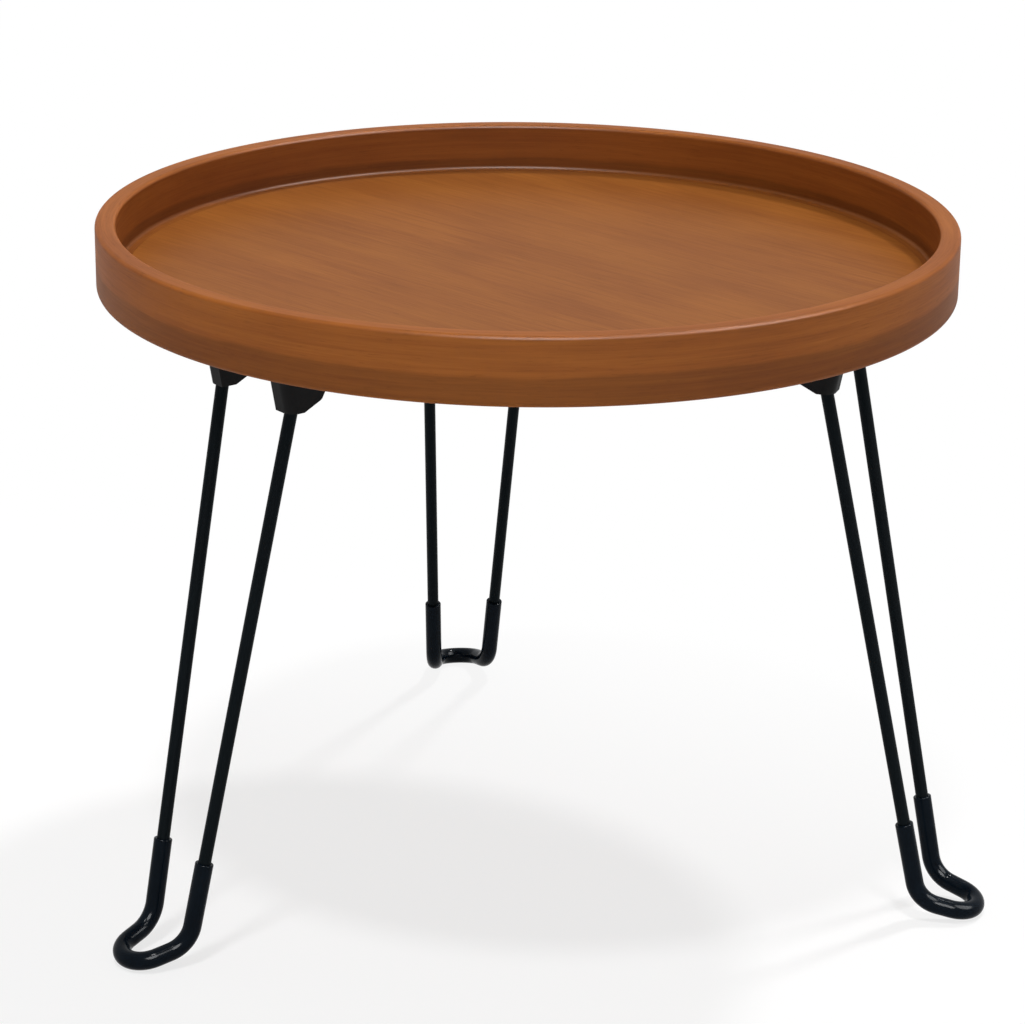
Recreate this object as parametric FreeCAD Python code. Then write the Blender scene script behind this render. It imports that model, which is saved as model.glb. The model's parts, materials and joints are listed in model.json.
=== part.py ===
"""Folding round tray table: a wooden tray on three folding hairpin legs of coated steel wire.

Frame: origin on the ground under the middle of the tray, +Z up, the back leg towards +Y.
Each leg is modelled pointing along +X (X outwards, Y along the rim) and then turned to its place.
"""
import FreeCAD, Part
import math
import os

Vector = FreeCAD.Vector

# Tray, in millimetres
TABLE_HEIGHT = 395.0
TRAY_DIAMETER = 500.0
TRAY_DEPTH = 29.0
RIM_HEIGHT = 38.5
RIM_THICKNESS = 12.0
RIM_TOP_ROUNDING = 2.5
RIM_FOOT_ROUNDING = 3.3
REBATE_DEPTH = 4.0
REBATE_ROUNDING = 1.0
COVE_RADIUS = 5.0
COVE_LAND = 0.6
LIP_THICKNESS = 2.0
PANEL_THICKNESS = 7.0
PANEL_CLEARANCE = 0.2

# Leg wire
WIRE_DIAMETER = 7.4
HINGE_INSET = 54.4
PIVOT_DROP = 14.0
PIVOT_HALF_SPACING = 34.3
HEEL_HALF_SPACING = 18.9
TIP_HALF_SPACING = 12.0
HEEL_BEND_RADIUS = 18.0
SPLAY_ANGLE = 11.9
TOE_STRAIGHT = 7.4
TOE_SLOPE_ANGLE = 12.8
EYE_RADIUS = 6.0
EYE_THICKNESS = 6.0
EYE_WALL = 1.0

# Sleeve over the toe of each leg
SLEEVE_WALL = 1.5
SLEEVE_CLEARANCE = 0.1
SLEEVE_RISE = 49.7

# Hinge pin, riveted over at both ends
PIN_DIAMETER = 4.0
PIN_HEAD_RADIUS = 3.4
PIN_HEAD_HEIGHT = 1.4
PIN_HEAD_ROUNDING = 1.0
RUNNING_CLEARANCE = 0.05

# Moulded hinge bracket: lengths along X are measured from the hinge pin
BRACKET_HEIGHT = 38.0
BRACKET_FRONT = 17.5
BRACKET_FRONT_TAPER = 7.3
BRACKET_BOTTOM_RUN = 9.6
BRACKET_RAMP_RUN = 11.6
BRACKET_RAMP_RISE = 5.6
BRACKET_BACK = 29.0
BRACKET_FRONT_ROUNDING = 6.0
BRACKET_BACK_ROUNDING = 3.5
BRACKET_EDGE_ROUNDING = 0.8
OUTER_CHEEK = 1.4
INNER_CHEEK = 3.3
SIDE_CLEARANCE = 0.3
STOP_CLEARANCE = 0.3
EYE_CLEARANCE = 0.5
FOLD_RISE_ANGLE = 1.0
FLANGE_THICKNESS = 4.0
FLANGE_FRONT = 28.5
FLANGE_BACK = 38.5

# Wood screws, pan head with a cross recess
SCREW_DIAMETER = 3.5
SCREW_CLEARANCE = 0.3
SCREW_BITE = 5.2
SCREW_TIP = 2.0
SCREW_HEAD_RADIUS = 3.4
SCREW_HEAD_HEIGHT = 2.2
SCREW_HEAD_ROUNDING = 1.2
SCREW_RECESS_LENGTH = 4.0
SCREW_RECESS_WIDTH = 0.9
SCREW_RECESS_DEPTH = 1.2
PILOT_CLEARANCE = 0.05

# Way that the back leg points, in degrees from +X, and the turn from each leg to the next
BACK_LEG_ANGLE = 90.0
LEG_STEP_ANGLE = 120.0
# Straight runs shorter than this between two bends are left out
SHORTEST_RUN = 1e-6

# Heights and radii that follow from the sizes above
tray_radius = TRAY_DIAMETER / 2
rim_foot = TABLE_HEIGHT - RIM_HEIGHT
well_radius = tray_radius - RIM_THICKNESS
rebate_radius = well_radius + REBATE_DEPTH
lip_radius = well_radius - COVE_RADIUS - COVE_LAND
floor_height = TABLE_HEIGHT - TRAY_DEPTH
lip_underside = floor_height - LIP_THICKNESS
panel_underside = floor_height - PANEL_THICKNESS
pivot_height = panel_underside - PIVOT_DROP
hinge_radius = rebate_radius - HINGE_INSET
wire_radius = WIRE_DIAMETER / 2
sleeve_bore_radius = wire_radius + SLEEVE_CLEARANCE
sleeve_radius = sleeve_bore_radius + SLEEVE_WALL
pin_radius = PIN_DIAMETER / 2
screw_radius = SCREW_DIAMETER / 2

# Path of the wire: pivot, heel and toe tip of the leg's left half
splay = math.radians(SPLAY_ANGLE)
toe_slope = math.radians(TOE_SLOPE_ANGLE)
heel_turn = math.pi / 2 - splay - toe_slope
toe_length = HEEL_BEND_RADIUS * math.tan(heel_turn / 2) + TOE_STRAIGHT + TIP_HALF_SPACING
toe_reach = toe_length * math.cos(toe_slope)
heel_height = sleeve_radius + toe_length * math.sin(toe_slope)
heel_reach = hinge_radius + (pivot_height - heel_height) * math.tan(splay)
pivot = Vector(hinge_radius, PIVOT_HALF_SPACING, pivot_height)
heel = Vector(heel_reach, HEEL_HALF_SPACING, heel_height)
tip = Vector(heel_reach + toe_reach, TIP_HALF_SPACING, sleeve_radius)

# The tip's two bends meet in the middle of the toe
tip_bend_radius = TIP_HALF_SPACING * math.tan((heel - tip).getAngle(Vector(0, -1, 0)) / 2)
leg_bend_radii = [0, HEEL_BEND_RADIUS, tip_bend_radius, tip_bend_radius, HEEL_BEND_RADIUS, 0]

# The wire leans sideways, so the bracket's slot is wider than the wire by that lean
bracket_lean = (BRACKET_HEIGHT - PIVOT_DROP) * (pivot.y - heel.y) / (pivot.z - heel.z)
slot_outer = PIVOT_HALF_SPACING + wire_radius + SIDE_CLEARANCE
slot_inner = PIVOT_HALF_SPACING - bracket_lean - wire_radius - SIDE_CLEARANCE
slot_width = slot_outer - slot_inner
bracket_width = slot_width + OUTER_CHEEK + INNER_CHEEK
bracket_middle = slot_outer + OUTER_CHEEK - bracket_width / 2
flange_end_rounding = bracket_width / 2
screw_places = (FLANGE_FRONT - flange_end_rounding, flange_end_rounding - FLANGE_BACK)

# Leg names and the way each one points, in degrees from +X
leg_angles = {
    "back": BACK_LEG_ANGLE,
    "left": BACK_LEG_ANGLE + LEG_STEP_ANGLE,
    "right": BACK_LEG_ANGLE + 2 * LEG_STEP_ANGLE,
}


def bent_wire(points, radii, closed=False):
    """Wire of straight runs through the points, each corner rounded by a tangent arc of its radius."""
    bends = []
    for index, (point, radius) in enumerate(zip(points, radii)):
        if radius == 0:
            bends.append((point, None, point))
            continue
        back = (points[index - 1] - point).normalize()
        onward = (points[(index + 1) % len(points)] - point).normalize()
        half_angle = back.getAngle(onward) / 2
        reach = radius / math.tan(half_angle)
        to_centre = (back + onward).normalize()
        middle = point + to_centre * (radius / math.sin(half_angle) - radius)
        bends.append((point + back * reach, middle, point + onward * reach))
    edges = []
    for index, (start, middle, end) in enumerate(bends):
        if middle:
            edges.append(Part.Arc(start, middle, end).toShape())
        following = bends[(index + 1) % len(bends)][0]
        last = index == len(bends) - 1
        if end.distanceToPoint(following) > SHORTEST_RUN and (closed or not last):
            edges.append(Part.LineSegment(end, following).toShape())
    return Part.Wire(edges)


def section(corners, place):
    """Flat face from corners (across, along, rounding), which the given function places."""
    points = [place(across, along) for across, along, rounding in corners]
    roundings = [rounding for across, along, rounding in corners]
    return Part.Face(bent_wire(points, roundings, closed=True))


def upright(across, along):
    """Point of an upright section through the axis: across is X, along is Z."""
    return Vector(across, 0, along)


def turned(corners):
    """Solid of revolution about the upright axis, from corners (radius, height, rounding)."""
    return section(corners, upright).revolve(Vector(0, 0, 0), Vector(0, 0, 1), 360)


def tube_along(path, radius):
    """Round bar that follows a wire of straight runs and arcs."""
    first = path.OrderedEdges[0]
    start = first.valueAt(first.FirstParameter)
    heading = first.tangentAt(first.FirstParameter)
    ring = Part.Wire(Part.makeCircle(radius, start, heading))
    return path.makePipeShell([ring], True, False)


def cylinder_across(radius, length, centre):
    """Cylinder along Y, centred on a point."""
    return Part.makeCylinder(radius, length, centre - Vector(0, length / 2, 0), Vector(0, 1, 0))


def mirrored(point):
    """The same point on the leg's right half."""
    return Vector(point.x, -point.y, point.z)


def tray_rim():
    """Bent wooden ring: rounded top edges, a cove that ends level with the floor, a rebate for the panel."""
    return turned([
        (tray_radius, rim_foot, RIM_FOOT_ROUNDING),
        (tray_radius, TABLE_HEIGHT, RIM_TOP_ROUNDING),
        (well_radius, TABLE_HEIGHT, RIM_TOP_ROUNDING),
        (well_radius, floor_height, COVE_RADIUS),
        (lip_radius, floor_height, 0),
        (lip_radius, lip_underside, 0),
        (rebate_radius, lip_underside, 0),
        (rebate_radius, rim_foot, REBATE_ROUNDING),
    ])


def screw_points():
    """Seats of the screws of one leg, on the panel's underside, in the leg's own frame."""
    return [
        Vector(hinge_radius + place, middle, panel_underside)
        for middle in (bracket_middle, -bracket_middle)
        for place in screw_places
    ]


def tray_panel():
    """Round floor with a stepped edge under the rim's lip, and pilot holes for the bracket screws."""
    edge_radius = rebate_radius - PANEL_CLEARANCE
    floor_radius = lip_radius - PANEL_CLEARANCE
    panel = turned([
        (0, panel_underside, 0),
        (edge_radius, panel_underside, 0),
        (edge_radius, lip_underside, 0),
        (floor_radius, lip_underside, 0),
        (floor_radius, floor_height, 0),
        (0, floor_height, 0),
    ])
    pilot = Part.makeCylinder(screw_radius + PILOT_CLEARANCE, SCREW_BITE)
    holes = [
        turn_to(angle, pilot.translated(point))
        for angle in leg_angles.values()
        for point in screw_points()
    ]
    return panel.cut(Part.makeCompound(holes))


def leg_wire():
    """Hairpin of one bent steel bar with an eye at each end, running on the hinge pins."""
    run = (heel - pivot).normalize()
    start = pivot + run * (pin_radius + RUNNING_CLEARANCE + EYE_WALL)
    points = [start, heel, tip, mirrored(tip), mirrored(heel), mirrored(start)]
    wire = tube_along(bent_wire(points, leg_bend_radii), wire_radius)
    for centre in (pivot, mirrored(pivot)):
        wire = wire.fuse(cylinder_across(EYE_RADIUS, EYE_THICKNESS, centre))
    for centre in (pivot, mirrored(pivot)):
        wire = wire.cut(cylinder_across(pin_radius + RUNNING_CLEARANCE, 2 * WIRE_DIAMETER, centre))
    return wire.removeSplitter()


def foot_sleeve():
    """Soft tube pushed over the toe and up both sides of the leg."""
    run = (pivot - heel).normalize()
    start = heel + run * SLEEVE_RISE
    points = [start, heel, tip, mirrored(tip), mirrored(heel), mirrored(start)]
    path = bent_wire(points, leg_bend_radii)
    return tube_along(path, sleeve_radius).cut(tube_along(path, sleeve_bore_radius))


def bracket_block():
    """Outside of the bracket: the wedge-shaped housing on its flange, before the slot is cut."""
    bottom = panel_underside - BRACKET_HEIGHT
    front = hinge_radius + BRACKET_FRONT
    nose = front - BRACKET_FRONT_TAPER
    heel_edge = nose - BRACKET_BOTTOM_RUN
    side = bracket_middle - bracket_width / 2
    corners = [
        (front, panel_underside, 0),
        (nose, bottom, 0),
        (heel_edge, bottom, BRACKET_EDGE_ROUNDING),
        (heel_edge - BRACKET_RAMP_RUN, bottom + BRACKET_RAMP_RISE, BRACKET_BACK_ROUNDING),
        (hinge_radius - BRACKET_BACK, panel_underside, 0),
    ]
    housing = section(corners, upright).extrude(Vector(0, bracket_width, 0))
    outer_front_edges = [
        edge
        for edge in housing.Edges
        if edge.BoundBox.XMin > heel_edge
        and edge.BoundBox.YMin > bracket_width / 2
        and edge.BoundBox.ZLength > BRACKET_HEIGHT / 2
    ]
    housing = housing.makeFillet(BRACKET_FRONT_ROUNDING, outer_front_edges)
    flange = section([
        (hinge_radius + FLANGE_FRONT, 0, flange_end_rounding),
        (hinge_radius + FLANGE_FRONT, bracket_width, flange_end_rounding),
        (hinge_radius - FLANGE_BACK, bracket_width, flange_end_rounding),
        (hinge_radius - FLANGE_BACK, 0, flange_end_rounding),
    ], lambda across, along: Vector(across, along, panel_underside))
    flange = flange.extrude(Vector(0, 0, -FLANGE_THICKNESS))
    return housing.fuse(flange).removeSplitter().translate(Vector(0, side, 0))


def wire_slot():
    """Room for the wire to swing in: a round seat at its open stop and a slot back to its folded place."""
    gap = wire_radius + STOP_CLEARANCE
    reach = 2 * BRACKET_HEIGHT
    fold_rise = math.radians(FOLD_RISE_ANGLE)
    open_way = Vector(math.sin(splay), 0, -math.cos(splay))
    fold_way = Vector(-math.cos(fold_rise), 0, math.sin(fold_rise))
    roof_side = Vector(math.sin(fold_rise), 0, math.cos(fold_rise))
    centre = Vector(hinge_radius, slot_inner, pivot_height)
    points = [
        centre,
        centre + open_way * reach,
        centre + (open_way + fold_way) * reach,
        centre + roof_side * gap + fold_way * reach,
        centre + roof_side * gap,
    ]
    swing = Part.Face(Part.makePolygon(points + points[:1])).extrude(Vector(0, slot_width, 0))
    chamber = Part.makeCylinder(EYE_RADIUS + EYE_CLEARANCE, slot_width, centre, Vector(0, 1, 0))
    seat = Part.makeCylinder(gap, reach, pivot, heel - pivot)
    return swing.fuse(chamber).fuse(seat)


def hinge_bracket():
    """Bracket of the leg's left half: two cheeks round the slot, bored for the pin and the screws."""
    bore = cylinder_across(pin_radius + RUNNING_CLEARANCE, 2 * bracket_width, pivot)
    tools = [bore]
    for point in screw_points()[:len(screw_places)]:
        hole_radius = screw_radius + SCREW_CLEARANCE
        hole = Part.makeCylinder(hole_radius, FLANGE_THICKNESS, point, Vector(0, 0, -1))
        tools.append(hole)
    return bracket_block().cut(wire_slot()).cut(Part.makeCompound(tools))


def hinge_pin():
    """Steel pin through both cheeks and the wire's eye, with a domed head on each side."""
    half = bracket_width / 2
    face = section([
        (0, -half - PIN_HEAD_HEIGHT, 0),
        (PIN_HEAD_RADIUS, -half - PIN_HEAD_HEIGHT, PIN_HEAD_ROUNDING),
        (PIN_HEAD_RADIUS, -half, 0),
        (pin_radius, -half, 0),
        (pin_radius, half, 0),
        (PIN_HEAD_RADIUS, half, 0),
        (PIN_HEAD_RADIUS, half + PIN_HEAD_HEIGHT, PIN_HEAD_ROUNDING),
        (0, half + PIN_HEAD_HEIGHT, 0),
    ], lambda across, along: Vector(across, along, 0))
    pin = face.revolve(Vector(0, 0, 0), Vector(0, 1, 0), 360)
    return pin.translate(Vector(hinge_radius, bracket_middle, pivot_height))


def wood_screw():
    """Screw pointing up from the flange's lower face, which lies at height 0."""
    length = FLANGE_THICKNESS + SCREW_BITE
    screw = turned([
        (0, -SCREW_HEAD_HEIGHT, 0),
        (SCREW_HEAD_RADIUS, -SCREW_HEAD_HEIGHT, SCREW_HEAD_ROUNDING),
        (SCREW_HEAD_RADIUS, 0, 0),
        (screw_radius, 0, 0),
        (screw_radius, length - SCREW_TIP, 0),
        (0, length, 0),
    ])
    corner = Vector(-SCREW_RECESS_LENGTH / 2, -SCREW_RECESS_WIDTH / 2, -SCREW_HEAD_HEIGHT)
    bar = Part.makeBox(SCREW_RECESS_LENGTH, SCREW_RECESS_WIDTH, SCREW_RECESS_DEPTH, corner)
    cross_bar = bar.rotated(Vector(0, 0, 0), Vector(0, 0, 1), 90)
    return screw.cut(bar.fuse(cross_bar))


def bracket_screws():
    """The screws of one leg's two brackets, as separate solids."""
    seat = Vector(0, 0, -FLANGE_THICKNESS)
    return Part.makeCompound([wood_screw().translate(point + seat) for point in screw_points()])


def other_half(shape):
    """The same piece on the leg's right half."""
    return shape.mirror(Vector(0, 0, 0), Vector(0, 1, 0))


def turn_to(angle, shape):
    """Piece turned from +X to its leg's place."""
    return shape.rotated(Vector(0, 0, 0), Vector(0, 0, 1), angle)


def leg_pieces():
    """Pieces of one leg, in the leg's own frame, by the last part of their names."""
    bracket = hinge_bracket()
    pin = hinge_pin()
    return {
        "leg_wire": leg_wire(),
        "foot_sleeve": foot_sleeve(),
        "hinge_bracket_left": bracket,
        "hinge_bracket_right": other_half(bracket),
        "hinge_pin_left": pin,
        "hinge_pin_right": other_half(pin),
        "bracket_screws": bracket_screws(),
    }


def table_pieces():
    """Every piece of the table in its place, by node name."""
    pieces = {"tray_rim": tray_rim(), "tray_panel": tray_panel()}
    one_leg = leg_pieces()
    for leg, angle in leg_angles.items():
        for name, shape in one_leg.items():
            pieces[f"{leg}_{name}"] = turn_to(angle, shape)
    return pieces


os.makedirs("parts", exist_ok=True)
table = table_pieces()
for node, shape in table.items():
    shape.exportStep(f"parts/{node}.step")
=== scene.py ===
"""Looks of a folding round tray table: a wooden tray on three folding hairpin legs of coated wire."""

import json
import math

import bpy
import numpy as np
from bpy.props import FloatProperty, FloatVectorProperty, PointerProperty
from mathutils import Matrix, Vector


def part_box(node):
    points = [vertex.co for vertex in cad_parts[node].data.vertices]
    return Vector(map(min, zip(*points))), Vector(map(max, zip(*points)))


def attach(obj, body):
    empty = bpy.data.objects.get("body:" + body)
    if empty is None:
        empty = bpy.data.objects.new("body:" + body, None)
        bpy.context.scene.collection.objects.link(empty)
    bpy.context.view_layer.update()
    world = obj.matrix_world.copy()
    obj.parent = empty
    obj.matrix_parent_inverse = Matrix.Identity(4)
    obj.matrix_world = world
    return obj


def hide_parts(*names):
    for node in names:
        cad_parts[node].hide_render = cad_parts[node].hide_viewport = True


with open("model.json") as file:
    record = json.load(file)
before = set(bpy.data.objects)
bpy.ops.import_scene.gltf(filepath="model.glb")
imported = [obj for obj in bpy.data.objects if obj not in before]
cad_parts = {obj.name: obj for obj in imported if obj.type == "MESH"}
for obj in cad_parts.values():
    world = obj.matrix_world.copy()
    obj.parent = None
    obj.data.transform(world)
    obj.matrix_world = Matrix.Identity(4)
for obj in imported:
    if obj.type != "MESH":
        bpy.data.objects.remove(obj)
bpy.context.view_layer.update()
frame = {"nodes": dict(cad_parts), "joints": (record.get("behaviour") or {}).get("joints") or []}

bl_info = {
    "name": "Folding Round Tray Table",
    "version": (1, 0, 0),
    "blender": (4, 5, 0),
    "location": "View3D > Sidebar > Tray Table",
    "description": "Builds the finished tray, legs, hinges and studio of a folding round table",
    "category": "Object",
}

MM = 0.001
LEG_ANGLES = {"back": 90.0, "left": 210.0, "right": 330.0}
SIDES = ("left", "right")
ARC_STEPS = 16
RIM_SEGMENTS = 480
TUBE_SIDES = 40
SHARP_ANGLE = math.radians(40)
SHORTEST_RUN = 0.0001 * MM
LENGTH_DIGITS = 5
MILLIMETRE_DIGITS = 3
WHITE = (1.0, 1.0, 1.0, 1.0)


def linear(code):
    """Linear RGBA of an sRGB hex colour: c/12.92 below 0.04045, else ((c + 0.055)/1.055)^2.4."""
    channels = [int(code[i:i + 2], 16) / 255 for i in (1, 3, 5)]
    return (*[c / 12.92 if c <= 0.04045 else ((c + 0.055) / 1.055) ** 2.4 for c in channels], 1.0)


def length_value(name, description, millimetres):
    """A length that the user can change, given in millimetres and kept in metres."""
    metres = millimetres * MM
    return FloatProperty(
        name=name, description=description, default=metres, unit="LENGTH", precision=LENGTH_DIGITS
    )


def angle_value(name, description, degrees):
    """An angle that the user can change, given in degrees and kept in radians."""
    return FloatProperty(
        name=name, description=description, default=math.radians(degrees), subtype="ANGLE"
    )


def colour_value(name, description, code):
    """A colour that the user can change, given as an sRGB hex value."""
    return FloatVectorProperty(
        name=name,
        description=description,
        default=linear(code),
        size=4,
        subtype="COLOR",
        min=0.0,
        max=1.0,
    )


class TraySizes(bpy.types.PropertyGroup):
    """Sizes of the tray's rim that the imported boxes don't show."""

    rim_thickness: length_value("Rim thickness", "Wall of the bent rim", 12.0)
    top_rounding: length_value("Top rounding", "Rounding of the rim's two top edges", 2.5)
    foot_rounding: length_value("Foot rounding", "Rounding of the rim's lower outer edge", 3.3)
    rebate_rounding: length_value("Rebate rounding", "Rounding of the rim's lower inner edge", 1.0)
    cove_radius: length_value("Cove radius", "Hollow curve where the wall meets the floor", 2.5)
    cove_land: length_value("Cove land", "Flat strip between the cove and the floor panel", 3.25)
    lip_thickness: length_value("Lip thickness", "Thickness of the cove's lip over the floor panel", 2.0)
    rebate_depth: length_value("Rebate depth", "How far the floor panel reaches under the wall", 4.0)


class LegSizes(bpy.types.PropertyGroup):
    """Sizes of a hairpin leg and of the sleeve on its toe."""

    wire_diameter: length_value("Wire diameter", "Coated steel wire", 7.4)
    pivot_half_spacing: length_value("Pivot half spacing", "Leg's middle to a wire at its hinge", 34.3)
    heel_half_spacing: length_value("Heel half spacing", "Leg's middle to a wire at its heel", 18.9)
    tip_half_spacing: length_value("Tip half spacing", "Leg's middle to a corner of its toe", 12.0)
    heel_bend_radius: length_value("Heel bend radius", "Bend of the wire's axis at the heel", 18.0)
    toe_straight: length_value("Toe straight", "Straight run from heel bend to toe bend", 7.4)
    splay: angle_value("Splay", "Lean of the leg from upright", 11.9)
    toe_slope: angle_value("Toe slope", "Fall of the toe towards its tip", 12.8)
    eye_radius: length_value("Eye radius", "Flattened eye at the wire's end", 6.0)
    eye_thickness: length_value("Eye thickness", "Flattened eye along its pin", 6.0)
    pin_bore_radius: length_value("Pin bore radius", "Bore of the eye", 2.05)
    eye_rounding: length_value("Eye rounding", "Rounded edges of the eye", 0.6)
    sleeve_wall: length_value("Sleeve wall", "Wall of the soft sleeve", 1.5)
    sleeve_clearance: length_value("Sleeve clearance", "Room between sleeve and wire", 0.1)
    sleeve_rise: length_value("Sleeve rise", "Heel corner to the sleeve's upper end", 49.7)
    sleeve_rounding: length_value("Sleeve rounding", "Rounded upper end of the sleeve", 0.6)


class Finishes(bpy.types.PropertyGroup):
    """Colours of the table's materials."""

    rim_dark: colour_value("Rim, late wood", "Dense wood of the stained rim", "#874a1c")
    rim_light: colour_value("Rim, early wood", "Open wood of the stained rim", "#985721")
    panel_dark: colour_value("Panel, late wood", "Dense wood of the stained veneer", "#81491b")
    panel_light: colour_value("Panel, early wood", "Open wood of the stained veneer", "#8e5420")
    wire_coat: colour_value("Wire coat", "Powder coat of the wire legs", "#080f13")
    sleeve_vinyl: colour_value("Sleeve vinyl", "Soft tube on the toes", "#0b131b")
    bracket_plastic: colour_value("Bracket plastic", "Moulded hinge brackets", "#0f0f10")
    pin_steel: colour_value("Pin steel", "Zinc-plated hinge pins", "#a9a9a6")
    screw_oxide: colour_value("Screw oxide", "Black oxide on the screws", "#2a2a2b")
    floor: colour_value("Studio floor", "Pale floor under the table", "#f0f0f0")


def unit(vectors):
    """Vectors scaled to length one."""
    return vectors / np.linalg.norm(vectors, axis=-1, keepdims=True)


def rounded_line(points, radii, closed):
    """Line through points whose corners are arcs, as an array of points.

    An arc of radius r at a corner with half angle h starts r / tan h before the corner, and its
    points are centre + r (sin((1 - t) w) a + sin(t w) b) / sin w, where w = pi - 2 h and a and b
    point from the centre to the arc's two ends.
    """
    points = np.asarray(points, float)
    back = unit(np.roll(points, 1, axis=0) - points)
    onward = unit(np.roll(points, -1, axis=0) - points)
    share = np.linspace(0, 1, ARC_STEPS)[:, None]
    runs = []
    for index, (point, radius) in enumerate(zip(points, radii)):
        if radius == 0 or (not closed and index in (0, len(points) - 1)):
            runs.append(point[None])
            continue
        half = math.acos(float(back[index] @ onward[index])) / 2
        centre = point + unit(back[index] + onward[index]) * radius / math.sin(half)
        first = unit(point + back[index] * radius / math.tan(half) - centre)
        last = unit(point + onward[index] * radius / math.tan(half) - centre)
        sweep = math.pi - 2 * half
        turn = (np.sin((1 - share) * sweep) * first + np.sin(share * sweep) * last) / math.sin(sweep)
        runs.append(centre + radius * turn)
    line = np.concatenate(runs)
    moved = np.linalg.norm(np.diff(line, axis=0), axis=1) > SHORTEST_RUN
    return line[np.concatenate([[True], moved])]


def grid_faces(rows, columns, close_rows):
    """Quads of a grid whose columns close on themselves, and its rows too where asked."""
    row = np.arange(rows if close_rows else rows - 1)[:, None]
    column = np.arange(columns)[None, :]
    next_row = (row + 1) % rows
    next_column = (column + 1) % columns
    corners = (
        row * columns + column,
        row * columns + next_column,
        next_row * columns + next_column,
        next_row * columns + column,
    )
    return np.stack([corner.ravel() for corner in np.broadcast_arrays(*corners)], axis=1)


def lathe(outline, segments):
    """Closed outline of (radius, height) turned about Z.

    A point of it becomes (r cos a, r sin a, h), on a grid of outline by angle.
    """
    angle = np.linspace(0, 2 * math.pi, segments, endpoint=False)
    radius, height = outline[:, :1], outline[:, 1:]
    level = np.broadcast_to(height, (len(outline), segments))
    vertices = np.stack([radius * np.cos(angle), radius * np.sin(angle), level], axis=-1)
    return vertices.reshape(-1, 3), grid_faces(len(outline), segments, close_rows=True)


def path_frames(path):
    """Two unit vectors square to the path at each of its points.

    The tangent halves the angle between the runs before and after a point. The reference leans
    inwards and down, which no run of a leg does, so that the frames never twist.
    """
    runs = unit(np.diff(path, axis=0))
    tangent = unit(np.concatenate([runs[:1], unit(runs[:-1] + runs[1:]), runs[-1:]]))
    reference = unit(np.array([-1.0, 0.0, -1.0]))
    across = unit(reference - (tangent @ reference)[:, None] * tangent)
    return across, np.cross(tangent, across)


def rings(path, across, aside, radii):
    """Circles square to a path: p + r (cos a across + sin a aside), on a grid of path by angle."""
    angle = np.linspace(0, 2 * math.pi, TUBE_SIDES, endpoint=False)
    cosine, sine = np.cos(angle)[None, :, None], np.sin(angle)[None, :, None]
    spokes = cosine * across[:, None] + sine * aside[:, None]
    return (path[:, None] + np.asarray(radii)[:, None, None] * spokes).reshape(-1, 3)


def joined(shapes):
    """One list of vertices and one of faces from several shapes."""
    counts = np.cumsum([0] + [len(vertices) for vertices, faces in shapes])
    vertices = np.concatenate([vertices for vertices, faces in shapes])
    faces = np.concatenate([faces + count for (_, faces), count in zip(shapes, counts)])
    return vertices, faces


def turned(vertices, azimuth):
    """Vertices turned about Z from +X to an azimuth in degrees."""
    c, s = math.cos(math.radians(azimuth)), math.sin(math.radians(azimuth))
    return vertices @ np.array([[c, s, 0], [-s, c, 0], [0, 0, 1]])


def outward(vertices, faces):
    """Faces whose normals point out of a closed shape: reversed if the enclosed volume is negative."""
    a, b, c, d = (vertices[faces[:, k]] for k in range(4))
    volume = np.sum(a * np.cross(b, c)) + np.sum(a * np.cross(c, d))
    return faces if volume > 0 else faces[:, ::-1]


def add_piece(name, shape, material, body, node):
    """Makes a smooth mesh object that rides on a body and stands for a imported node."""
    vertices, faces = shape
    mesh = bpy.data.meshes.new(name)
    mesh.from_pydata(vertices.tolist(), [], outward(vertices, faces).tolist())
    mesh.shade_smooth()
    mesh.set_sharp_from_angle(angle=SHARP_ANGLE)
    mesh.materials.append(material)
    piece = bpy.data.objects.new(name, mesh)
    bpy.context.scene.collection.objects.link(piece)
    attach(piece, body)
    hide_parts(node)


def dress(node, material):
    """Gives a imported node, whose shape stays, a finished material."""
    for material_slot in frame["nodes"][node].material_slots:
        material_slot.material = material


def add_node(tree, kind, inputs=None, **settings):
    """Adds a shader node with its settings, and links or sets each named or numbered input."""
    node = tree.nodes.new("ShaderNode" + kind)
    for key, value in settings.items():
        setattr(node, key, value)
    for key, value in (inputs or {}).items():
        if isinstance(value, bpy.types.NodeSocket):
            tree.links.new(value, node.inputs[key])
        else:
            node.inputs[key].default_value = value
    return node


def new_material(name):
    """Empty node material: itself, its tree and its shader."""
    material = bpy.data.materials.new(name)
    material.use_nodes = True
    tree = material.node_tree
    return material, tree, tree.nodes["Principled BSDF"]


def set_inputs(shader, values):
    """Sets what is the same all over a surface on the shader's own sockets."""
    for socket, value in values.items():
        shader.inputs[socket].default_value = value


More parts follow.
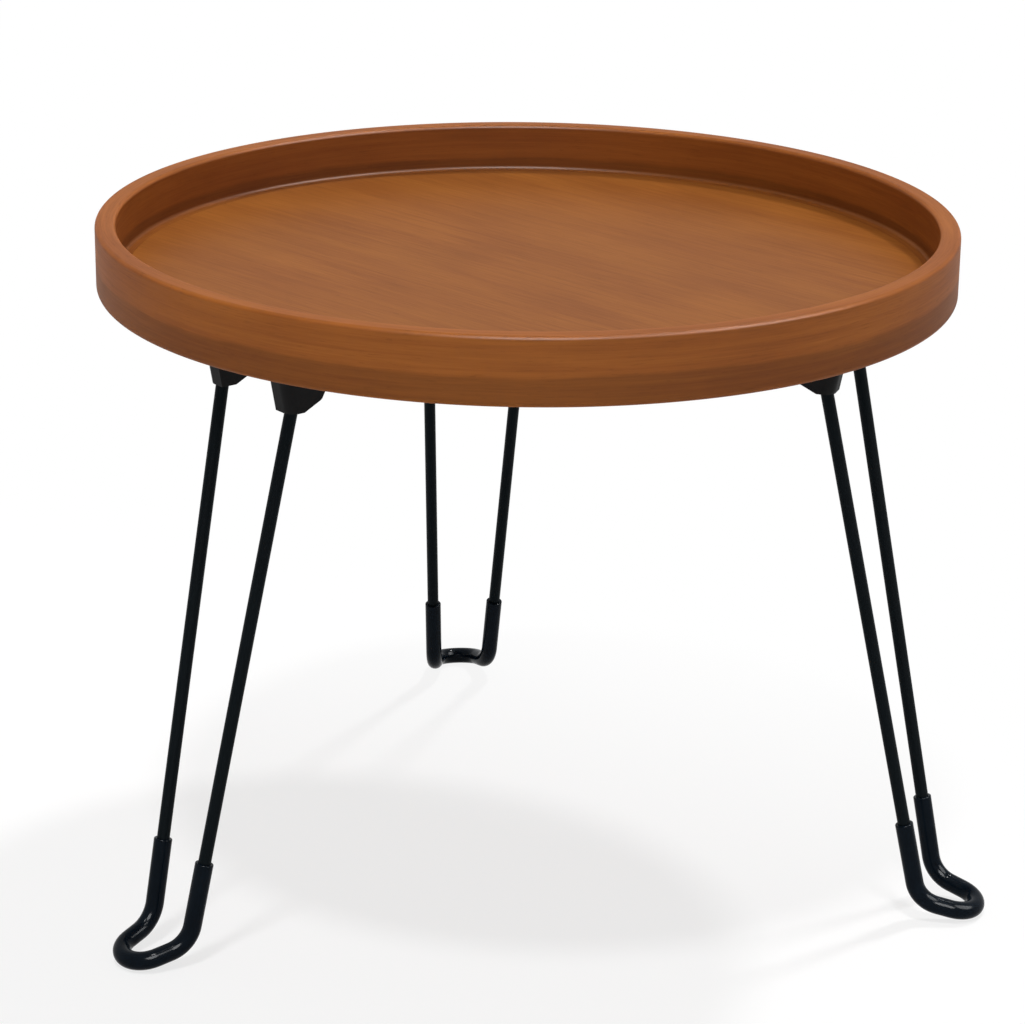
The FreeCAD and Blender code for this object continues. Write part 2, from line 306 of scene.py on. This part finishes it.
def stained_wood(name, grain_space, wood_tone_and_painted_highlight, dark, light):
    """Stained wood under satin lacquer, from functions for its grain coordinates and its tone.

    Real wood: a light, even-grained timber, stained brown and sprayed with a clear satin lacquer. The
    eye sees faint long streaks along the grain, fine fibres, a few dark pores and a soft sheen.
    Grain coordinates run along, through and across the grain, in metres. The tone is one where it is
    plain, less where the wood is darker, and more where a highlight is painted on. Nearly all gloss is
    that of the thin lacquer film.
    """
    streak_width, streak_length, streak_share = 3 * MM, 140 * MM, 0.45
    cloud_width, cloud_length, cloud_share = 40 * MM, 120 * MM, 0.55
    fibre_width, fibre_length = 0.9 * MM, 28 * MM
    pore_width, pore_length = 0.7 * MM, 7 * MM
    dark_tone, light_tone = 0.38, 0.62
    fibre_low, fibre_high, fibre_dark, fibre_light = 0.3, 0.7, 0.92, 1.08
    pore_low, pore_high, pore_dark = 0.22, 0.30, 0.88
    groove_roughness, ridge_roughness = 0.60, 0.50
    relief_strength, relief_height = 0.1, 0.1 * MM
    wood_ior, wood_gloss = 1.5, 0.005
    film_weight, film_roughness, film_ior = 0.20, 0.36, 1.5
    material, tree, shader = new_material(name)
    grain = grain_space(tree)

    def pattern(width, length, detail, distortion):
        """Noise stretched along the grain: one cell is the given width by the given length."""
        cells = (1 / length, 1 / length, 1 / width)
        scaled = add_node(tree, "VectorMath", {0: grain, 1: cells}, operation="MULTIPLY")
        noise = {"Vector": scaled.outputs[0], "Scale": 1.0, "Detail": detail, "Distortion": distortion}
        return add_node(tree, "TexNoise", noise).outputs["Fac"]

    streak = pattern(streak_width, streak_length, detail=4.0, distortion=0.4)
    cloud = pattern(cloud_width, cloud_length, detail=2.0, distortion=0.2)
    fibre = pattern(fibre_width, fibre_length, detail=2.0, distortion=0.0)
    pore = pattern(pore_width, pore_length, detail=0.0, distortion=0.0)

    drift = add_node(tree, "Math", {0: cloud, 1: cloud_share}, operation="MULTIPLY")
    mixed = {0: streak, 1: streak_share, 2: drift.outputs[0]}
    tone = add_node(tree, "Math", mixed, operation="MULTIPLY_ADD")
    ramp = add_node(tree, "ValToRGB", {"Fac": tone.outputs[0]})
    first, last = ramp.color_ramp.elements
    first.position, first.color = dark_tone, dark
    last.position, last.color = light_tone, light
    fibre_range = {"Value": fibre, 1: fibre_low, 2: fibre_high}
    fibre_shade = add_node(tree, "MapRange", {**fibre_range, 3: fibre_dark, 4: fibre_light})
    pore_range = {"Value": pore, 1: pore_low, 2: pore_high}
    pore_shade = add_node(tree, "MapRange", {**pore_range, 3: pore_dark, 4: 1.0})
    surface = {0: fibre_shade.outputs[0], 1: pore_shade.outputs[0]}
    lines = add_node(tree, "Math", surface, operation="MULTIPLY")
    shade = add_node(tree, "Math", {0: lines.outputs[0], 1: wood_tone_and_painted_highlight(tree)}, operation="MULTIPLY")
    tinted = {0: ramp.outputs["Color"], "Scale": shade.outputs[0]}
    colour = add_node(tree, "VectorMath", tinted, operation="SCALE")
    roughness = add_node(tree, "MapRange", {**fibre_range, 3: groove_roughness, 4: ridge_roughness})
    height = add_node(tree, "Math", {0: fibre, 1: pore_shade.outputs[0]}, operation="MULTIPLY")
    relief = {"Strength": relief_strength, "Distance": relief_height, "Height": height.outputs[0]}
    bump = add_node(tree, "Bump", relief)

    tree.links.new(colour.outputs[0], shader.inputs["Base Color"])
    tree.links.new(roughness.outputs[0], shader.inputs["Roughness"])
    tree.links.new(bump.outputs["Normal"], shader.inputs["Normal"])
    set_inputs(shader, {"IOR": wood_ior, "Specular IOR Level": wood_gloss})
    film = {"Coat Weight": film_weight, "Coat Roughness": film_roughness, "Coat IOR": film_ior}
    set_inputs(shader, film)
    return material


def ring_grain(tree):
    """Grain bent round the rim: it varies slowly with x and y and fast with radius plus height."""
    place = add_node(tree, "TexCoord").outputs["Object"]
    parts = add_node(tree, "SeparateXYZ", {0: place})
    level = add_node(tree, "CombineXYZ", {"X": parts.outputs["X"], "Y": parts.outputs["Y"]})
    radius = add_node(tree, "VectorMath", {0: level.outputs[0]}, operation="LENGTH")
    across = add_node(tree, "Math", {0: radius.outputs["Value"], 1: parts.outputs["Z"]}, operation="ADD")
    grain = add_node(
        tree, "CombineXYZ", {"X": parts.outputs["X"], "Y": parts.outputs["Y"], "Z": across.outputs[0]}
    )
    return grain.outputs[0]


def panel_grain(tree):
    """Straight grain of the floor panel, turned to its own direction and laid along the first axis."""
    grain_azimuth = math.radians(-54)
    place = add_node(tree, "TexCoord").outputs["Object"]
    turned_place = add_node(tree, "Mapping", {"Vector": place, "Rotation": (0.0, 0.0, -grain_azimuth)})
    parts = add_node(tree, "SeparateXYZ", {0: turned_place.outputs[0]})
    grain = add_node(
        tree, "CombineXYZ", {"X": parts.outputs["X"], "Y": parts.outputs["Z"], "Z": parts.outputs["Y"]}
    )
    return grain.outputs[0]


def rim_tone_and_painted_highlight(tree):
    """Tone of the rim: darker below a soft line round its foot, and a painted highlight on its top
    edges.
    """
    line_height, line_width, darkest = 17 * MM, 3 * MM, 0.71
    wander_size, wander_detail = 30 * MM, 2.0
    # Painted highlight: the colour is made paler along the rounding of the top edges, where the lamps'
    # gloss falls.
    highlight_depth, highlight_middle, highlight_peak = 2.0 * MM, 0.8 * MM, 1.22
    foot, top = (corner.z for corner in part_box("tray_rim"))
    line, middle = foot + line_height, top - highlight_middle
    place = add_node(tree, "TexCoord").outputs["Object"]
    level = add_node(tree, "SeparateXYZ", {0: place}).outputs["Z"]
    noise = {"Vector": place, "Scale": 1 / wander_size, "Detail": wander_detail}
    wander = add_node(tree, "TexNoise", noise).outputs["Fac"]
    uneven = add_node(tree, "Math", {0: wander, 1: line_width, 2: level}, operation="MULTIPLY_ADD")
    # Darker below a soft, wandering line round the rim's foot.
    depth = {"Value": uneven.outputs[0], 1: line, 2: line + line_width, 3: darkest, 4: 1.0}
    foot_darkening = add_node(tree, "MapRange", depth, interpolation_type="SMOOTHSTEP")
    rise = {"Value": level, 1: top - highlight_depth, 2: middle, 3: 1.0, 4: highlight_peak}
    fall = {"Value": level, 1: middle, 2: top, 3: highlight_peak, 4: 1.0}
    rising, falling = add_node(tree, "MapRange", rise), add_node(tree, "MapRange", fall)
    # Painted highlight along the rim's top edges.
    painted_edge_highlight = add_node(tree, "Math", {0: rising.outputs[0], 1: falling.outputs[0]}, operation="MINIMUM")
    stain = {0: foot_darkening.outputs[0], 1: painted_edge_highlight.outputs[0]}
    return add_node(tree, "Math", stain, operation="MULTIPLY").outputs[0]


def panel_stain(tree):
    """Stain of the floor panel: broad soft clouds, as a pad leaves them."""
    cloud_size, cloud_detail = 90 * MM, 1.0
    cloud_low, cloud_high, darkest = 0.35, 0.65, 0.95
    place = add_node(tree, "TexCoord").outputs["Object"]
    noise = {"Vector": place, "Scale": 1 / cloud_size, "Detail": cloud_detail}
    clouds = add_node(tree, "TexNoise", noise).outputs["Fac"]
    depth = {"Value": clouds, 1: cloud_low, 2: cloud_high, 3: darkest, 4: 1.0}
    return add_node(tree, "MapRange", depth).outputs[0]


def grainy_coat(name, colour, roughness, grain, height, values):
    """Coated or moulded surface: one colour on a fine uneven skin that varies its tone and gloss.

    The skin's grain and height are in metres, and values go to the shader's own sockets.
    """
    skin_low, skin_high, skin_detail = 0.3, 0.7, 2.0
    tone_spread, roughness_spread, relief_strength = 0.1, 0.04, 0.5
    smoothest, roughest = roughness - roughness_spread, roughness + roughness_spread
    material, tree, shader = new_material(name)
    place = add_node(tree, "TexCoord").outputs["Object"]
    noise = {"Vector": place, "Scale": 1 / grain, "Detail": skin_detail}
    skin = add_node(tree, "TexNoise", noise).outputs["Fac"]
    skin_range = {"Value": skin, 1: skin_low, 2: skin_high}
    tone = add_node(tree, "MapRange", {**skin_range, 3: 1 - tone_spread, 4: 1 + tone_spread})
    tinted = {0: tuple(colour)[:3], "Scale": tone.outputs[0]}
    shaded = add_node(tree, "VectorMath", tinted, operation="SCALE")
    gloss = add_node(tree, "MapRange", {**skin_range, 3: smoothest, 4: roughest})
    bump = add_node(tree, "Bump", {"Strength": relief_strength, "Distance": height, "Height": skin})
    tree.links.new(shaded.outputs[0], shader.inputs["Base Color"])
    tree.links.new(gloss.outputs[0], shader.inputs["Roughness"])
    tree.links.new(bump.outputs["Normal"], shader.inputs["Normal"])
    set_inputs(shader, values)
    return material


def powder_coated_steel(finishes):
    """Steel wire with a satin black powder coat: its orange-peel skin breaks up the long highlight."""
    return grainy_coat(
        "powder_coated_steel",
        finishes.wire_coat,
        roughness=0.40,
        grain=1.2 * MM,
        height=0.04 * MM,
        values={"IOR": 1.52, "Specular IOR Level": 0.04},
    )


def soft_vinyl(finishes):
    """Dipped soft vinyl: deep black, smooth and glossy, with slow waves in its skin."""
    return grainy_coat(
        "soft_vinyl",
        finishes.sleeve_vinyl,
        roughness=0.16,
        grain=6 * MM,
        height=0.03 * MM,
        values={"IOR": 1.53, "Specular IOR Level": 0.04},
    )


def moulded_nylon(finishes):
    """Black nylon moulded in a spark-eroded tool: a fine matt grain, drawn coarse enough to show."""
    return grainy_coat(
        "moulded_nylon",
        finishes.bracket_plastic,
        roughness=0.58,
        grain=0.5 * MM,
        height=0.06 * MM,
        values={"IOR": 1.53, "Specular IOR Level": 0.10},
    )


def zinc_steel(finishes):
    """Zinc-plated steel pin: a bright metal with a fine cloudy skin."""
    return grainy_coat(
        "zinc_steel",
        finishes.pin_steel,
        roughness=0.32,
        grain=0.8 * MM,
        height=0.02 * MM,
        values={"Metallic": 1.0},
    )


def black_oxide_steel(finishes):
    """Screws of steel with a black oxide skin: dark metal with a soft sheen."""
    return grainy_coat(
        "black_oxide_steel",
        finishes.screw_oxide,
        roughness=0.38,
        grain=0.6 * MM,
        height=0.02 * MM,
        values={"Metallic": 1.0},
    )


def rim_outline(sizes):
    """Section of the rim as (radius, height): rounded wall, cove, and lip and rebate for the panel."""
    low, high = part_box("tray_rim")
    _, panel_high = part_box("tray_panel")
    outer = round(max(high.x, high.y), MILLIMETRE_DIGITS)
    inner = outer - sizes.rim_thickness
    rebate = inner + sizes.rebate_depth
    floor = panel_high.z
    lip = inner - sizes.cove_radius - sizes.cove_land
    lip_low = floor - sizes.lip_thickness
    corners = [
        (outer, low.z, sizes.foot_rounding),
        (outer, high.z, sizes.top_rounding),
        (inner, high.z, sizes.top_rounding),
        (inner, floor, sizes.cove_radius),
        (lip, floor, 0),
        (lip, lip_low, 0),
        (rebate, lip_low, 0),
        (rebate, low.z, sizes.rebate_rounding),
    ]
    points = [corner[:2] for corner in corners]
    radii = [corner[2] for corner in corners]
    return rounded_line(points, radii, closed=True)


def leg_corners(sizes, rise):
    """Corner points of a hairpin, the bends at them and the hinge's middle, in the leg's own frame.

    X is outwards and Y along the rim. The path runs from one side to the other. It starts the given
    distance above the heel corner, or at the hinge where rise is None.
    """
    neck_wall = 1 * MM
    joint = frame["joints"][0]
    hinge_radius, pivot_height = float(np.hypot(*joint["pos_m"][:2])), joint["pos_m"][2]
    sleeve_radius = sizes.wire_diameter / 2 + sizes.sleeve_clearance + sizes.sleeve_wall
    tip_half, heel_bend = sizes.tip_half_spacing, sizes.heel_bend_radius
    heel_turn = math.pi / 2 - sizes.splay - sizes.toe_slope
    toe = heel_bend * math.tan(heel_turn / 2) + sizes.toe_straight + tip_half
    heel_height = sleeve_radius + toe * math.sin(sizes.toe_slope)
    heel_reach = hinge_radius + (pivot_height - heel_height) * math.tan(sizes.splay)
    pivot = np.array([hinge_radius, sizes.pivot_half_spacing, pivot_height])
    heel = np.array([heel_reach, sizes.heel_half_spacing, heel_height])
    tip = np.array([heel_reach + toe * math.cos(sizes.toe_slope), tip_half, sleeve_radius])
    tip_bend = tip_half * math.tan(math.acos(-unit(heel - tip)[1]) / 2)
    way = unit(pivot - heel)
    neck = pivot - way * (sizes.pin_bore_radius + neck_wall)
    start = neck if rise is None else heel + way * rise
    right_half = np.array([start, heel, tip])
    left_half = right_half[::-1] * [1, -1, 1]
    bends = (0, heel_bend, tip_bend, tip_bend, heel_bend, 0)
    return np.concatenate([right_half, left_half]), bends, pivot


def hairpin_wire(sizes):
    """Bent bar of one leg, as a tube along its path with a flat eye at each end."""
    corners, radii, pivot = leg_corners(sizes, rise=None)
    path = rounded_line(corners, radii, closed=False)
    across, aside = path_frames(path)
    radius = sizes.wire_diameter / 2
    ends = [0, *range(len(path)), len(path) - 1]
    tube_radii = np.full(len(ends), radius)
    tube_radii[[0, -1]] = SHORTEST_RUN
    bar = rings(path[ends], across[ends], aside[ends], tube_radii)
    shapes = [(bar, grid_faces(len(ends), TUBE_SIDES, close_rows=False))]
    half = sizes.eye_thickness / 2
    section = rounded_line(
        [
            (sizes.pin_bore_radius, -half),
            (sizes.eye_radius, -half),
            (sizes.eye_radius, half),
            (sizes.pin_bore_radius, half),
        ],
        (0, sizes.eye_rounding, sizes.eye_rounding, 0),
        closed=True,
    )
    ring, ring_faces = lathe(section, TUBE_SIDES)
    for side in (1, -1):
        eye = ring[:, [0, 2, 1]] + pivot * [1, side, 1]
        shapes.append((eye, outward(eye, ring_faces)))
    return joined(shapes)


def toe_sleeve(sizes):
    """Soft tube over the toe: a closed skin that runs out along its outside and back along its bore.

    Near an end the outside's radius is R - e + sqrt(e^2 - (e - d)^2) at the distance d from the end.
    """
    corners, radii, _ = leg_corners(sizes, rise=sizes.sleeve_rise)
    bore = sizes.wire_diameter / 2 + sizes.sleeve_clearance
    outside = bore + sizes.sleeve_wall
    edge = sizes.sleeve_rounding
    path = rounded_line(corners, radii, closed=False)
    depth = edge * (1 - np.cos(np.linspace(0, math.pi / 2, ARC_STEPS)))
    first_way, last_way = unit(path[1] - path[0]), unit(path[-2] - path[-1])
    line = np.concatenate(
        [path[0] + depth[:, None] * first_way, path[1:-1], path[-1] + depth[::-1, None] * last_way]
    )
    curve = outside - edge + np.sqrt(np.maximum(edge ** 2 - (edge - depth) ** 2, 0))
    outside_radii = np.concatenate([curve, np.full(len(path) - 2, outside), curve[::-1]])
    across, aside = path_frames(line)
    order = [*range(len(line)), *range(len(line) - 1, -1, -1)]
    skin_radii = np.concatenate([outside_radii, np.full(len(line), bore)])
    vertices = rings(line[order], across[order], aside[order], skin_radii)
    return vertices, grid_faces(len(order), TUBE_SIDES, close_rows=True)


class TRAYTABLE_OT_rim(bpy.types.Operator):
    """Turns the bent wooden rim with its cove and rounded edges"""

    bl_idname = "traytable.rim"
    bl_label = "Tray Rim"

    def execute(self, context):
        outline = rim_outline(context.scene.tray_sizes)
        finishes = context.scene.table_finishes
        dark, light = finishes.rim_dark, finishes.rim_light
        wood = stained_wood("stained_bent_wood", ring_grain, rim_tone_and_painted_highlight, dark, light)
        add_piece("bent_rim", lathe(outline, RIM_SEGMENTS), wood, "tray", "tray_rim")
        return {"FINISHED"}


class TRAYTABLE_OT_panel(bpy.types.Operator):
    """Finishes the tray's floor panel"""

    bl_idname = "traytable.panel"
    bl_label = "Tray Panel"

    def execute(self, context):
        finishes = context.scene.table_finishes
        dark, light = finishes.panel_dark, finishes.panel_light
        dress("tray_panel", stained_wood("stained_veneer", panel_grain, panel_stain, dark, light))
        return {"FINISHED"}


class TRAYTABLE_OT_wires(bpy.types.Operator):
    """Bends the three hairpin legs"""

    bl_idname = "traytable.wires"
    bl_label = "Leg Wires"

    def execute(self, context):
        vertices, faces = hairpin_wire(context.scene.leg_sizes)
        coat = powder_coated_steel(context.scene.table_finishes)
        for leg, azimuth in LEG_ANGLES.items():
            shape = turned(vertices, azimuth), faces
            body, node = f"{leg}_leg", f"{leg}_leg_wire"
            add_piece(f"{leg}_hairpin", shape, coat, body, node)
        return {"FINISHED"}


class TRAYTABLE_OT_sleeves(bpy.types.Operator):
    """Pulls the soft sleeves over the toes"""

    bl_idname = "traytable.sleeves"
    bl_label = "Toe Sleeves"

    def execute(self, context):
        vertices, faces = toe_sleeve(context.scene.leg_sizes)
        vinyl = soft_vinyl(context.scene.table_finishes)
        for leg, azimuth in LEG_ANGLES.items():
            shape = turned(vertices, azimuth), faces
            body, node = f"{leg}_leg", f"{leg}_foot_sleeve"
            add_piece(f"{leg}_toe_sleeve", shape, vinyl, body, node)
        return {"FINISHED"}


class TRAYTABLE_OT_hinges(bpy.types.Operator):
    """Finishes the hinge brackets, their pins and their screws"""

    bl_idname = "traytable.hinges"
    bl_label = "Hinges"

    def execute(self, context):
        finishes = context.scene.table_finishes
        nylon = moulded_nylon(finishes)
        zinc = zinc_steel(finishes)
        oxide = black_oxide_steel(finishes)
        for leg in LEG_ANGLES:
            for side in SIDES:
                dress(f"{leg}_hinge_bracket_{side}", nylon)
                dress(f"{leg}_hinge_pin_{side}", zinc)
            dress(f"{leg}_bracket_screws", oxide)
        return {"FINISHED"}


def seen_or_reflected(tree):
    """One where the camera, a reflection or a refraction looks, and zero for diffuse light."""
    rays = add_node(tree, "LightPath").outputs
    direct = {0: rays["Is Camera Ray"], 1: rays["Is Glossy Ray"]}
    glossy = add_node(tree, "Math", direct, operation="MAXIMUM")
    seen = {0: glossy.outputs[0], 1: rays["Is Transmission Ray"]}
    return add_node(tree, "Math", seen, operation="MAXIMUM").outputs[0]


def light_world():
    """White backdrop to the eye and in reflections, and an even soft fill for everything else."""
    fill_strength, seen_strength = 0.36, 1.0
    world = bpy.data.worlds.new("studio_world")
    world.use_nodes = True
    bpy.context.scene.world = world
    tree = world.node_tree
    backdrop = tree.nodes["Background"]
    backdrop.inputs["Color"].default_value = WHITE
    strengths = {"Value": seen_or_reflected(tree), 3: fill_strength, 4: seen_strength}
    strength = add_node(tree, "MapRange", strengths)
    tree.links.new(strength.outputs[0], backdrop.inputs["Strength"])


def pale_floor(colour):
    """Plain pale studio floor: matt, and lifted towards white for the eye so that shadows stay pale.

    It is lifted further towards the back right, where the lamp on that side overexposes a real floor.
    """
    half_width, matt_roughness = 8.0, 0.9
    lift, full_lift = 0.75, 0.975
    lamp_way, fade_start, fade_end = (0.63, 0.78, 0.0), 0.0, 340 * MM
    ways = ((-1, -1), (1, -1), (1, 1), (-1, 1))
    corners = [(x * half_width, y * half_width, 0) for x, y in ways]
    mesh = bpy.data.meshes.new("studio_floor")
    mesh.from_pydata(corners, [], [(0, 1, 2, 3)])
    material, tree, shader = new_material("pale_floor")
    set_inputs(shader, {"Base Color": colour, "Roughness": matt_roughness, "Specular IOR Level": 0.0})
    white = add_node(tree, "Emission", {"Color": WHITE, "Strength": 1.0})
    place = add_node(tree, "TexCoord").outputs["Object"]
    along = add_node(tree, "VectorMath", {0: place, 1: lamp_way}, operation="DOT_PRODUCT")
    fade = {"Value": along.outputs["Value"], 1: fade_start, 2: fade_end, 3: lift, 4: full_lift}
    lifted = add_node(tree, "MapRange", fade)
    seen = {0: seen_or_reflected(tree), 1: lifted.outputs[0]}
    share = add_node(tree, "Math", seen, operation="MULTIPLY")
    layers = {0: share.outputs[0], 1: shader.outputs[0], 2: white.outputs[0]}
    mixed = add_node(tree, "MixShader", layers)
    tree.links.new(mixed.outputs[0], tree.nodes["Material Output"].inputs["Surface"])
    mesh.materials.append(material)
    floor = bpy.data.objects.new("studio_floor", mesh)
    bpy.context.scene.collection.objects.link(floor)


def placement(right, top, back, place):
    """Matrix of an object, from its own three axes and its place."""
    axes = np.stack([right, top, back, place], axis=1)
    return Matrix([*axes.tolist(), (0, 0, 0, 1)])


def studio_lamp(name, place, degrees, strength, gleam_only):
    """Far white lamp behind a diffuser, aimed from its place at the table.

    The diffuser looks so many degrees wide. A lamp that is gleam_only shows in gloss alone.
    """
    lamp = bpy.data.lights.new(name, "SUN")
    lamp.angle, lamp.energy = math.radians(degrees), strength
    back = unit(np.array(place, float))
    side = unit(np.cross([0.0, 1.0, 0.0], back))
    light = bpy.data.objects.new(name, lamp)
    light.matrix_world = placement(side, np.cross(back, side), back, place)
    light.visible_diffuse = not gleam_only
    bpy.context.scene.collection.objects.link(light)


def photo_camera():
    """Camera where the photograph was taken from: its place, heading, pitch and roll about the table."""
    distance, height = 1.8527, 0.8643
    focal_length, sensor_width = 115.08, 36.0
    azimuth, pan, pitch, roll = math.radians(-9.4091), -0.0037, 0.3383, 0.0122
    reach = math.cos(pitch)
    forward = np.array([math.sin(pan) * reach, math.cos(pan) * reach, -math.sin(pitch)])
    level = np.array([math.cos(pan), -math.sin(pan), 0.0])
    upright = np.cross(level, forward)
    right = level * math.cos(roll) + upright * math.sin(roll)
    top = upright * math.cos(roll) - level * math.sin(roll)
    placed = placement(right, top, -forward, np.array([0.0, -distance, height]))
    lens = bpy.data.cameras.new("photo_camera")
    lens.sensor_width, lens.lens = sensor_width, focal_length
    camera = bpy.data.objects.new("photo_camera", lens)
    camera.matrix_world = Matrix.Rotation(azimuth, 4, "Z") @ placed
    bpy.context.scene.collection.objects.link(camera)
    bpy.context.scene.camera = camera


class TRAYTABLE_OT_stage(bpy.types.Operator):
    """Sets up the pale floor, the soft studio light and the camera"""

    bl_idname = "traytable.stage"
    bl_label = "Studio"

    def execute(self, context):
        pale_floor(context.scene.table_finishes.floor)
        light_world()
        studio_lamp("back_right_lamp", (0.40, 0.39, 1.0), degrees=6, strength=1.55, gleam_only=False)
        studio_lamp("front_lamp", (-0.104, -0.243, 1.0), degrees=6, strength=1.40, gleam_only=False)
        studio_lamp("right_edge_lamp", (0.62, -0.28, 0.7), degrees=40, strength=9.0, gleam_only=True)
        studio_lamp("front_edge_lamp", (-0.05, -0.66, 0.7), degrees=30, strength=9.0, gleam_only=True)
        photo_camera()
        context.scene.view_settings.view_transform = "Standard"
        return {"FINISHED"}


class VIEW3D_PT_tray_table(bpy.types.Panel):
    """Lists the table's pieces, sizes and colours"""

    bl_label = "Folding Tray Table"
    bl_space_type = "VIEW_3D"
    bl_region_type = "UI"
    bl_category = "Tray Table"

    def draw(self, context):
        for operator in OPERATORS:
            self.layout.operator(operator.bl_idname)
        for group in (context.scene.tray_sizes, context.scene.leg_sizes, context.scene.table_finishes):
            box = self.layout.box()
            for name in group.__annotations__:
                box.prop(group, name)


GROUPS = {"tray_sizes": TraySizes, "leg_sizes": LegSizes, "table_finishes": Finishes}
OPERATORS = (
    TRAYTABLE_OT_rim,
    TRAYTABLE_OT_panel,
    TRAYTABLE_OT_wires,
    TRAYTABLE_OT_sleeves,
    TRAYTABLE_OT_hinges,
    TRAYTABLE_OT_stage,
)
CLASSES = (*GROUPS.values(), *OPERATORS, VIEW3D_PT_tray_table)


def register():
    """Registers the classes and hangs the sizes and colours on the scene."""
    for cls in CLASSES:
        bpy.utils.register_class(cls)
    for name, group in GROUPS.items():
        setattr(bpy.types.Scene, name, PointerProperty(type=group))


def unregister():
    """Takes back what register did."""
    for name in GROUPS:
        delattr(bpy.types.Scene, name)
    for cls in reversed(CLASSES):
        bpy.utils.unregister_class(cls)


def main():
    """Builds every piece and the studio."""
    register()
    for operator in OPERATORS:
        group, name = operator.bl_idname.split(".")
        getattr(getattr(bpy.ops, group), name)()


if __name__ == "__main__":
    main()
